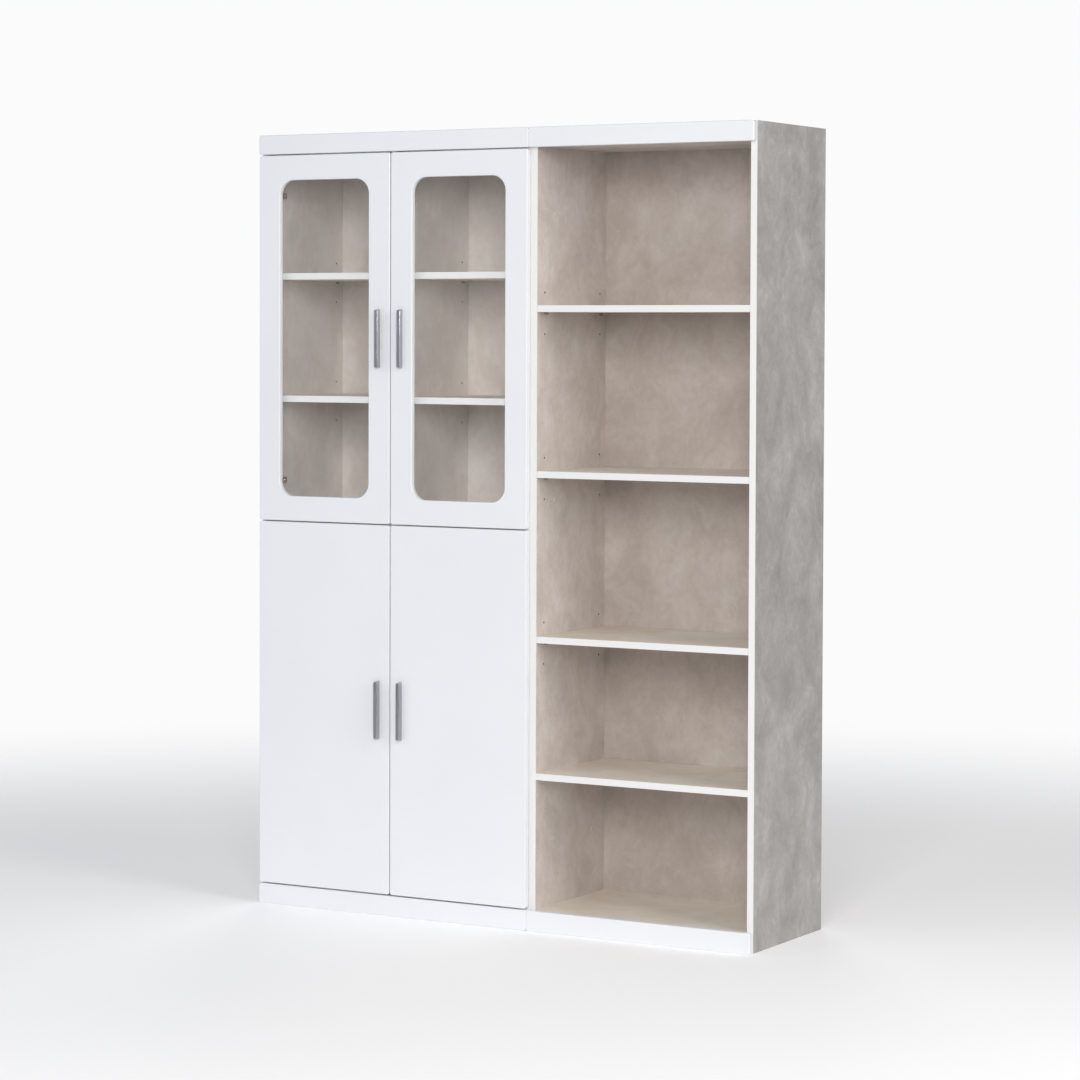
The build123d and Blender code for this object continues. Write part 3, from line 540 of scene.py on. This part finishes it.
def cut_cross(tree, piece, reach, width, depth, top):
    """The piece with a cross that reaches that far across and sinks that deep below top."""
    tall = add(tree, "ShaderNodeMath", {0: depth, 1: 2.0}, operation="MULTIPLY").outputs[0]
    lift = add(tree, "ShaderNodeCombineXYZ", {"Z": top}).outputs[0]
    crossed = add(tree, "GeometryNodeMeshBoolean", {
        0: piece}, operation="DIFFERENCE", solver="EXACT")
    for x, y in ((reach, width), (width, reach)):
        block = add(tree, "ShaderNodeCombineXYZ", {"X": x, "Y": y, "Z": tall}).outputs[0]
        block = add(tree, "GeometryNodeMeshCube", {"Size": block}).outputs[0]
        block = add(tree, "GeometryNodeTransform", {"Geometry": block, "Translation": lift})
        tree.links.new(block.outputs[0], crossed.inputs[1])
    return crossed.outputs[0]


crown = add(tree, "ShaderNodeMath", {0: size["Head height"], 1: size["Dome"]}, operation="ADD")
reach = add(tree, "ShaderNodeMath", {0: size["Head radius"], 1: CROSS_REACH}, operation="MULTIPLY")
width = add(tree, "ShaderNodeMath", {0: size["Head radius"], 1: CROSS_WIDTH}, operation="MULTIPLY")
depth = add(tree, "ShaderNodeMath", {0: crown.outputs[0], 1: CROSS_DEPTH}, operation="MULTIPLY")
head = cut_cross(tree, domed.outputs[0], reach.outputs[0], width.outputs[0], depth.outputs[0],
                 crown.outputs[0])
print("with its cross,", len(tree.nodes), "nodes")

# %% [markdown]
# ## A screw's thread
# The shank is a plain core with a rolled thread. A wire of three sides swept along a
# spiral gives a thread's sharp crest with few faces, and the spiral's turns follow from
# the length and the pitch.

# %% The core and the thread of the screw tree
SPIRAL_STEPS, WIRE_SIDES, CREST = 12, 3, 0.3    # the crest is a share of the pitch
core = add(tree, "GeometryNodeMeshCylinder", {
    "Vertices": HEAD_SIDES, "Fill Segments": 1, "Radius": size["Core radius"],
    "Depth": size["Shank length"]}, fill_type="TRIANGLE_FAN")
half_down = add(tree, "ShaderNodeMath", {0: size["Shank length"], 1: -0.5}, operation="MULTIPLY")
drop = add(tree, "ShaderNodeCombineXYZ", {"Z": half_down.outputs[0]})
core = add(tree, "GeometryNodeTransform", {
    "Geometry": core.outputs["Mesh"], "Translation": drop.outputs[0]})
turns = add(tree, "ShaderNodeMath", {
    0: size["Shank length"], 1: size["Thread pitch"]}, operation="DIVIDE")
spiral = add(tree, "GeometryNodeCurveSpiral", {
    "Resolution": SPIRAL_STEPS, "Rotations": turns.outputs[0], "Start Radius": size["Core radius"],
    "End Radius": size["Core radius"], "Height": size["Shank length"]})
crest = add(tree, "ShaderNodeMath", {0: size["Thread pitch"], 1: CREST}, operation="MULTIPLY")
wire = add(tree, "GeometryNodeCurvePrimitiveCircle", {
    "Resolution": WIRE_SIDES, "Radius": crest.outputs[0]})
thread = add(tree, "GeometryNodeCurveToMesh", {
    "Curve": spiral.outputs[0], "Profile Curve": wire.outputs[0], "Fill Caps": True})
whole_down = add(tree, "ShaderNodeMath", {0: size["Shank length"], 1: -1.0}, operation="MULTIPLY")
drop = add(tree, "ShaderNodeCombineXYZ", {"Z": whole_down.outputs[0]})
thread = add(tree, "GeometryNodeTransform", {
    "Geometry": thread.outputs[0], "Translation": drop.outputs[0]})
print("with its core and thread,", len(tree.nodes), "nodes")

# %% [markdown]
# ## The whole screw
# Head, core and thread are joined. A copy then stands on every point, looking the point's
# own way, and becomes real mesh with its finish. The cams end the same way, so the end is
# a function.

# %% The end of the screw tree
def stand_and_finish(tree, sockets, piece):
    """Stands the piece on every point, looking its way, as real mesh with its finish."""
    way = add(tree, "GeometryNodeInputNamedAttribute", {"Name": "way"}, data_type="FLOAT_VECTOR")
    turn = add(tree, "FunctionNodeAlignRotationToVector", {"Vector": way.outputs[0]}, axis="Z")
    stood = add(tree, "GeometryNodeInstanceOnPoints", {
        "Points": sockets["Points"], "Instance": piece, "Rotation": turn.outputs[0]})
    real = add(tree, "GeometryNodeRealizeInstances", {"Geometry": stood.outputs[0]})
    done = add(tree, "GeometryNodeSetMaterial", {
        "Geometry": real.outputs[0], "Material": sockets["Finish"]})
    add(tree, "NodeGroupOutput", {0: done.outputs[0]})


screw = add(tree, "GeometryNodeJoinGeometry")
for part in (head, core.outputs[0], thread.outputs[0]):
    tree.links.new(part, screw.inputs[0])
stand_and_finish(tree, size, screw.outputs[0])
print("screw tree:", len(tree.nodes), "nodes")

# %% [markdown]
# ## Hinge plate screws
# Each hinge's plate is held to the cabinet side by two screws with 9 mm pan heads. Those
# on the left side look right, and those on the right side look left. Loose points with
# one attribute carry the place and the way of each, so no screw is turned by hand.

# %% Where the plate screws sit
PAN = {"Head radius": 4.5, "Head height": 0.9, "Dome": 0.6, "Core radius": 1.7,
       "Shank length": 15.0, "Thread pitch": 1.4}


def points_object(name, places, directions):
    """A mesh of loose points, each with the way its piece looks."""
    mesh = bpy.data.meshes.new(name)
    mesh.from_pydata([tuple(p) for p in places], [], [])
    way = mesh.attributes.new("way", "FLOAT_VECTOR", "POINT")
    way.data.foreach_set("vector", [c for d in directions for c in d])
    points = bpy.data.objects.new(name, mesh)
    bpy.context.scene.collection.objects.link(points)
    return points


middle_x = (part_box("cabinet_top_panel")[0].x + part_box("cabinet_top_panel")[1].x) / 2
head_tall = (PAN["Head height"] + PAN["Dome"]) * MM
seats, ways = [], []
for low, high in plate_screws:
    on_left = (low.x + high.x) / 2 < middle_x
    seat_x = high.x - head_tall if on_left else low.x + head_tall
    seats.append((seat_x, (low.y + high.y) / 2, (low.z + high.z) / 2))
    ways.append((1, 0, 0) if on_left else (-1, 0, 0))
points = points_object("plate_screw_points", seats, ways)
print(len(points.data.vertices), "points,", ways.count((1, 0, 0)), "of them look right")

# %% [markdown]
# ## Running a tree
# A tree is run by a modifier on the points. Its inputs are set by each socket's own
# identifier, before Blender first works the object out. The result is then kept as a
# plain mesh that rides on its body, and the points and the modifier are dropped.

# %% Make the plate screws as plain mesh
def grow(name, tree, points, sizes_mm, material):
    """The tree's pieces on those points, as one finished mesh. The points are used up."""
    run = points.modifiers.new("tree", "NODES")
    run.node_group = tree
    for socket in tree.interface.items_tree:
        if socket.in_out == "INPUT" and socket.name in sizes_mm:
            run[socket.identifier] = sizes_mm[socket.name] * MM
        if socket.in_out == "INPUT" and socket.name == "Finish":
            run[socket.identifier] = material
    bpy.context.view_layer.update()
    worked_out = points.evaluated_get(bpy.context.evaluated_depsgraph_get())
    mesh = bpy.data.meshes.new_from_object(worked_out)
    points.modifiers.remove(run)
    bpy.data.objects.remove(points)
    mesh.name = name
    if not mesh.materials:
        mesh.materials.append(material)
    made = bpy.data.objects.new(name, mesh)
    bpy.context.scene.collection.objects.link(made)
    return made


screws = grow("plate_screw_set", screw_tree, points, PAN, zinc_plate)
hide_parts("hinge_plate_screws")
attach(screws, "root")
print(len(seats), "plate screws,", len(screws.data.polygons), "faces")

# %% [markdown]
# ## Screws in the doors
# A door has three kinds: long machine screws whose heads lie on its back and pull the
# handle on, flat ones that hold the hinge cups, and small ones for the glass clips. The
# length of a screw's box tells the kind.

# %% The kinds of door screw
SAME_LENGTH = 0.25      # mm that a box may differ from a kind's length
CUP_SCREW = {"Head radius": 3.5, "Head height": 0.3, "Dome": 0.2, "Core radius": 1.3,
             "Shank length": 12.3, "Thread pitch": 1.2}
KINDS = {               # by the screw's full length in mm
    28.2: {"Head radius": 4.0, "Head height": 1.4, "Dome": 0.8, "Core radius": 1.65,
           "Shank length": 26.0, "Thread pitch": 0.9},
    12.8: CUP_SCREW,
    12.3: {**CUP_SCREW, "Shank length": 11.8},
}
print("door screws of", sorted(KINDS), "mm")

# %% [markdown]
# ## One piece for each door
# Each kind is grown in its own run, but a door's screws ride together, so their meshes
# are joined. A joined mesh takes the first one's finish, which they all share.

# %% Door screws
def joined(name, objects):
    """Several plain meshes made one."""
    whole = bmesh.new()
    for o in objects:
        whole.from_mesh(o.data)
    mesh = bpy.data.meshes.new(name)
    whole.to_mesh(mesh)
    whole.free()
    mesh.materials.append(objects[0].data.materials[0])
    for o in objects:
        bpy.data.objects.remove(o)
    made = bpy.data.objects.new(name, mesh)
    bpy.context.scene.collection.objects.link(made)
    return made


for node in [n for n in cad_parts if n.endswith("_door_screws")]:
    sets = []
    for length, kind in KINDS.items():
        found = [(low, high) for low, high in pieces_of(node)
                 if abs((high.y - low.y) / MM - length) < SAME_LENGTH]
        head_tall = (kind["Head height"] + kind["Dome"]) * MM
        seats = [((low.x + high.x) / 2, high.y - head_tall, (low.z + high.z) / 2)
                 for low, high in found]
        if seats:
            points = points_object(f"{node}_points", seats, [(0, 1, 0)] * len(seats))
            sets.append(grow(f"{node}_{length}", screw_tree, points, kind, zinc_plate))
    screws = joined(node.replace("_screws", "_screw_set"), sets)
    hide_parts(node)
    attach(screws, node.replace("_screws", ""))
    print(screws.name, len(pieces_of(node)), "screws,", len(screws.data.polygons), "faces")

# %% [markdown]
# ## Cam locks
# A cam is a small zinc casting let into the underside of a board. Turning its cross
# recess a half turn pulls on a bolt from the upright. Its face shows a rim, the cross and
# a small arrow that says where the bolt comes in, so the tree cuts those from a disc.

# %% The cam tree
RECESS_REACH, RECESS_WIDTH = 0.95, 1.4       # shares of the sunk face, and of the rim
ARROW_SIZE, ARROW_OUT = 1.2, 0.78            # shares of the rim, and of the sunk face
cam_tree, size = tree_with("cam_lock", ("Radius", "Depth", "Rim", "Sink", "Cross depth"))
tree = cam_tree
disc = add(tree, "GeometryNodeMeshCylinder", {
    "Vertices": HEAD_SIDES, "Fill Segments": 1, "Radius": size["Radius"], "Depth": size["Depth"]},
    fill_type="TRIANGLE_FAN")
half_down = add(tree, "ShaderNodeMath", {0: size["Depth"], 1: -0.5}, operation="MULTIPLY")
drop = add(tree, "ShaderNodeCombineXYZ", {"Z": half_down.outputs[0]})
cam = add(tree, "GeometryNodeTransform", {
    "Geometry": disc.outputs["Mesh"], "Translation": drop.outputs[0]})
inner = add(tree, "ShaderNodeMath", {
    0: size["Radius"], 1: size["Rim"]}, operation="SUBTRACT").outputs[0]
sunk_tall = add(tree, "ShaderNodeMath", {0: size["Sink"], 1: 2.0}, operation="MULTIPLY")
sunk = add(tree, "GeometryNodeMeshCylinder", {
    "Vertices": HEAD_SIDES, "Fill Segments": 1, "Radius": inner, "Depth": sunk_tall.outputs[0]},
    fill_type="TRIANGLE_FAN")
arrow_wide = add(tree, "ShaderNodeMath", {0: size["Rim"], 1: ARROW_SIZE}, operation="MULTIPLY")
arrow_tall = add(tree, "ShaderNodeMath", {0: size["Sink"], 1: 4.0}, operation="MULTIPLY")
arrow = add(tree, "GeometryNodeMeshCone", {
    "Vertices": 3, "Radius Top": arrow_wide.outputs[0], "Radius Bottom": arrow_wide.outputs[0],
    "Depth": arrow_tall.outputs[0]})
aside = add(tree, "ShaderNodeMath", {0: inner, 1: ARROW_OUT}, operation="MULTIPLY")
below = add(tree, "ShaderNodeMath", {0: size["Sink"], 1: -2.0}, operation="MULTIPLY")
to_rim = add(tree, "ShaderNodeCombineXYZ", {"X": aside.outputs[0], "Z": below.outputs[0]})
arrow = add(tree, "GeometryNodeTransform", {
    "Geometry": arrow.outputs[0], "Translation": to_rim.outputs[0]})
cam = cam.outputs[0]
for cutter in (sunk.outputs["Mesh"], arrow.outputs[0]):
    cut = add(tree, "GeometryNodeMeshBoolean", {0: cam}, operation="DIFFERENCE", solver="EXACT")
    tree.links.new(cutter, cut.inputs[1])
    cam = cut.outputs[0]
reach = add(tree, "ShaderNodeMath", {0: inner, 1: RECESS_REACH}, operation="MULTIPLY")
width = add(tree, "ShaderNodeMath", {0: size["Rim"], 1: RECESS_WIDTH}, operation="MULTIPLY")
cam = cut_cross(tree, cam, reach.outputs[0], width.outputs[0], size["Cross depth"], 0.0)
stand_and_finish(tree, size, cam)
print("cam tree:", len(tree.nodes), "nodes")

# %% [markdown]
# ## Cams in the boards
# Every cam looks down from the underside of its board, so one way serves them all. A real
# 15 mm cam fills the depth of its bore, which gives the sizes.

# %% Cams
cam_boxes = pieces_of("carcass_cams")
seats = [((low.x + high.x) / 2, (low.y + high.y) / 2, low.z) for low, high in cam_boxes]
points = points_object("cam_points", seats, [(0, 0, -1)] * len(seats))
cams = grow("cam_set", cam_tree, points,
            {"Radius": 7.5, "Depth": 12.5, "Rim": 1.0, "Sink": 0.4, "Cross depth": 4.0}, zinc_plate)
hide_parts("carcass_cams")
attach(cams, "root")
print(len(seats), "cams,", len(cams.data.polygons), "faces")

# %% [markdown]
# ## The handles' shape
# Each pull is a solid bar on a narrower neck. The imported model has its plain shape, with
# sloping ends and square corners seen from the front. Here the ends are nearly level, the
# corners are round and the rims roll over, which is where an edge catches the
# light. A loft fits that: rounded rectangles at growing distances from the door, joined
# by quads. All of it stays inside the plain bar's own box.

# %% Rings of a handle
BAR_HALF_WIDTH, NECK_HALF_WIDTH = 5.5 * MM, 3.5 * MM
BAR_START, BAR_LIP = 7 * MM, 0.5 * MM        # the bar starts this far out from the door
BAR_CORNER, NECK_CORNER, RIM = 4.5 * MM, 3 * MM, 2 * MM
END_SLOPE = 1.5 * MM                         # each end leans in by this, door to front
QUARTER_STEPS = 6


def ring(half_width, half_length, corner, out):
    """A rounded rectangle that faces the front, at a distance out from the door."""
    points = []
    for quarter in range(4):
        side = half_width - corner if quarter in (0, 3) else corner - half_width
        end = half_length - corner if quarter in (0, 1) else corner - half_length
        for step in range(QUARTER_STEPS + 1):
            angle = math.radians(90 * (quarter + step / QUARTER_STEPS))
            points.append((side + corner * math.cos(angle), -out, end + corner * math.sin(angle)))
    return points


def handle_rings(length, reach):
    """The rings of one handle, from the door to its front face."""
    levels = [(BAR_LIP, BAR_START), (0, BAR_START + BAR_LIP)]        # inset, and distance out
    for step in range(QUARTER_STEPS + 1):
        turn = math.radians(90 * step / QUARTER_STEPS)
        levels.append((RIM * (1 - math.cos(turn)), reach - RIM + RIM * math.sin(turn)))
    levels.append((1.3 * RIM, reach))
    rings = [ring(NECK_HALF_WIDTH, length / 2 - END_SLOPE * out / reach, NECK_CORNER, out)
             for out in (0, BAR_START)]
    return rings + [ring(BAR_HALF_WIDTH - inset, length / 2 - END_SLOPE * out / reach - inset,
                         BAR_CORNER - inset, out) for inset, out in levels]


print(len(handle_rings(145 * MM, 16 * MM)), "rings for a handle")

# %% [markdown]
# ## Handles on the doors
# Each handle takes its length and reach from the plain bar that it replaces. Its faces
# are smooth, but stay sharp where they meet at more than 40 degrees, as where the neck
# meets the bar.

# %% Loft and place the handles
def lofted(name, rings):
    """A closed mesh through rings of equal count."""
    count = len(rings[0])
    last = count * (len(rings) - 1)
    faces = [tuple(reversed(range(count))), tuple(range(last, last + count))]
    for low in range(0, last, count):
        faces += [(low + i, low + (i + 1) % count, low + count + (i + 1) % count, low + count + i)
                  for i in range(count)]
    mesh = bpy.data.meshes.new(name)
    mesh.from_pydata([point for one in rings for point in one], [], faces)
    mesh.shade_smooth()
    mesh.set_sharp_from_angle(angle=math.radians(40))
    return mesh


for door in ("upper_left", "upper_right", "lower_left", "lower_right"):
    low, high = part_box(f"{door}_handle")
    bar = lofted(f"{door}_bar_pull", handle_rings(high.z - low.z, high.y - low.y))
    bar.transform(Matrix.Translation(((low.x + high.x) / 2, high.y, (low.z + high.z) / 2)))
    bar.materials.append(satin_nickel)
    pull = bpy.data.objects.new(f"{door}_bar_pull", bar)
    bpy.context.scene.collection.objects.link(pull)
    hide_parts(f"{door}_handle")
    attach(pull, f"{door}_door")
    print(door, "handle:", len(bar.polygons), "faces")

# %% [markdown]
# ## The floor
# A pale, matt floor, a little uneven in tone like seamless paper. It fades away between
# 1.6 and 4.4 metres from the middle of the bookcase, so no horizon shows behind it. It
# glows a little, so that it stays nearly as pale as the backdrop.

# %% Floor
FADE_FROM, FADE_TO, FLOOR_REACH = 1.6, 4.4, 5.2    # metres
paper, tree, shader = finish("seamless_paper", Roughness=0.9, Emission_Strength=0.18)
shader.inputs["Emission Color"].default_value = colour("#ffffff")
place = add(tree, "ShaderNodeTexCoord").outputs["Object"]
tooth = add(tree, "ShaderNodeTexNoise", {"Vector": place, "Scale": 1.0, "Detail": 2.0})
tone = add(tree, "ShaderNodeValToRGB", {0: tooth.outputs[0]})
tone.color_ramp.elements[0].color = colour("#f3f3f4")
tone.color_ramp.elements[1].color = colour("#f6f6f7")
tree.links.new(tone.outputs[0], shader.inputs["Base Color"])
distance = add(tree, "ShaderNodeVectorMath", {0: place}, operation="LENGTH").outputs["Value"]
fade = add(tree, "ShaderNodeMapRange", {
    "Value": distance, 1: FADE_FROM, 2: FADE_TO}, interpolation_type="SMOOTHSTEP")
open_air = add(tree, "ShaderNodeBsdfTransparent")
faded = add(tree, "ShaderNodeMixShader", {
    0: fade.outputs[0], 1: shader.outputs[0], 2: open_air.outputs[0]})
tree.links.new(faded.outputs[0], tree.nodes["Material Output"].inputs["Surface"])
floor_mesh = bpy.data.meshes.new("floor")
corners = [(x * FLOOR_REACH, y * FLOOR_REACH, 0) for x, y in ((-1, -1), (1, -1), (1, 1), (-1, 1))]
floor_mesh.from_pydata(corners, [], [(0, 1, 2, 3)])
floor_mesh.materials.append(paper)
floor = bpy.data.objects.new("floor", floor_mesh)
bpy.context.scene.collection.objects.link(floor)
floor.location.z = -0.2 * MM      # just below the feet, so that the two never flicker
print("floor reaches", FLOOR_REACH, "m each way")

# %% [markdown]
# ## The room
# A pale sky lights everything softly, as white walls do. It is weaker than the backdrop
# that the camera sees, also through the panes, so that the backdrop can be white while the
# softboxes still shape the bookcase. The Standard view keeps white foil white, where the
# default one greys it.

# %% Sky and backdrop
bpy.context.scene.view_settings.view_transform = "Standard"
world = bpy.data.worlds.new("pale_room")
world.use_nodes = True
tree = world.node_tree
sky = tree.nodes["Background"]
sky.inputs["Color"].default_value = colour("#f3f6fb")
sky.inputs["Strength"].default_value = 0.27
backdrop = add(tree, "ShaderNodeBackground", {"Color": colour("#fbfbfc"), "Strength": 1.0})
rays = add(tree, "ShaderNodeLightPath").outputs
seen = add(tree, "ShaderNodeMath", {
    0: rays["Is Camera Ray"], 1: rays["Is Transmission Ray"]}, operation="MAXIMUM")
either = add(tree, "ShaderNodeMixShader", {
    0: seen.outputs[0], 1: sky.outputs[0], 2: backdrop.outputs[0]})
tree.links.new(either.outputs[0], tree.nodes["World Output"].inputs["Surface"])
bpy.context.scene.world = world
print("sky strength", round(sky.inputs["Strength"].default_value, 2))

# %% [markdown]
# ## Softboxes
# The main softbox stands high beside the camera, so its light reaches into the open bays
# and through the panes. One on the right lights the concrete side, and one behind is for
# views of the back. Two weak ones fill from the left. One of them is high and the other far
# out, because a softbox low at the front left shows as a bright band in the panes.

# %% Softboxes
def softbox(name, place, aim, size, watts, tint):
    """A square area light that looks from one point at another."""
    light = bpy.data.lights.new(name, "AREA")
    light.shape, light.size, light.energy = "SQUARE", size, watts
    light.color = colour(tint)[:3]
    box = bpy.data.objects.new(name, light)
    box.location = place
    box.rotation_euler = (Vector(aim) - Vector(place)).to_track_quat("-Z", "Y").to_euler()
    bpy.context.scene.collection.objects.link(box)
    return box


softbox("main_softbox", (2.7, -5.5, 2.75), (0, 0, 1.4), 2.2, 182, "#fffefc")
softbox("side_softbox", (5.0, -1.4, 3.0), (0.7, 0, 1.6), 2.0, 102, "#fffbf7")
softbox("rear_softbox", (-2.4, 4.6, 3.2), (0, 0, 1.2), 2.0, 60, "#ffffff")
softbox("left_softbox", (-2.6, -4.6, 3.8), (0, 0, 1.5), 2.0, 30, "#f4f8ff")
softbox("low_left_softbox", (-5.2, -3.8, 1.7), (0, 0, 1.1), 1.8, 34, "#f7faff")
print(len(bpy.data.lights), "softboxes")

# %% [markdown]
# ## Camera
# The camera stands to the right of the bookcase, 30 degrees off its front, at three
# quarters of its height, with a long lens from about eight metres, so the uprights stay
# nearly parallel. It tips down two degrees, and a small shift does the rest of the framing.

# %% Camera
FRAME, FOCAL, SENSOR = 1080, 3301.3, 36      # the frame and focal length in the same unit
MIDDLE_ROW = 445                             # the lens looks at this row, not at the middle
STAND = (4.0663, 6.8445, 1.4386)             # across, in front of the boards, and up, in metres
yaw, pitch, roll = math.radians(29.998), math.radians(-1.944), math.radians(0.186)
ahead = Vector((-math.sin(yaw) * math.cos(pitch), math.cos(yaw) * math.cos(pitch), math.sin(pitch)))
level = Vector((math.cos(yaw), math.sin(yaw), 0))
upward = level.cross(ahead)
right = level * math.cos(roll) + upward * math.sin(roll)
up = upward * math.cos(roll) - level * math.sin(roll)
lens = bpy.data.cameras.new("camera")
lens.sensor_width = SENSOR
lens.lens = FOCAL / FRAME * SENSOR
lens.shift_y = (MIDDLE_ROW - FRAME / 2) / FRAME
camera = bpy.data.objects.new("camera", lens)
board_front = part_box("cabinet_edge_bands")[0].y
stand = Matrix.Translation((STAND[0], board_front - STAND[1], STAND[2]))
camera.matrix_world = stand @ Matrix((right, up, -ahead)).transposed().to_4x4()
bpy.context.scene.collection.objects.link(camera)
bpy.context.scene.camera = camera
print("lens", round(lens.lens, 1), "mm, shift", round(lens.shift_y, 3))
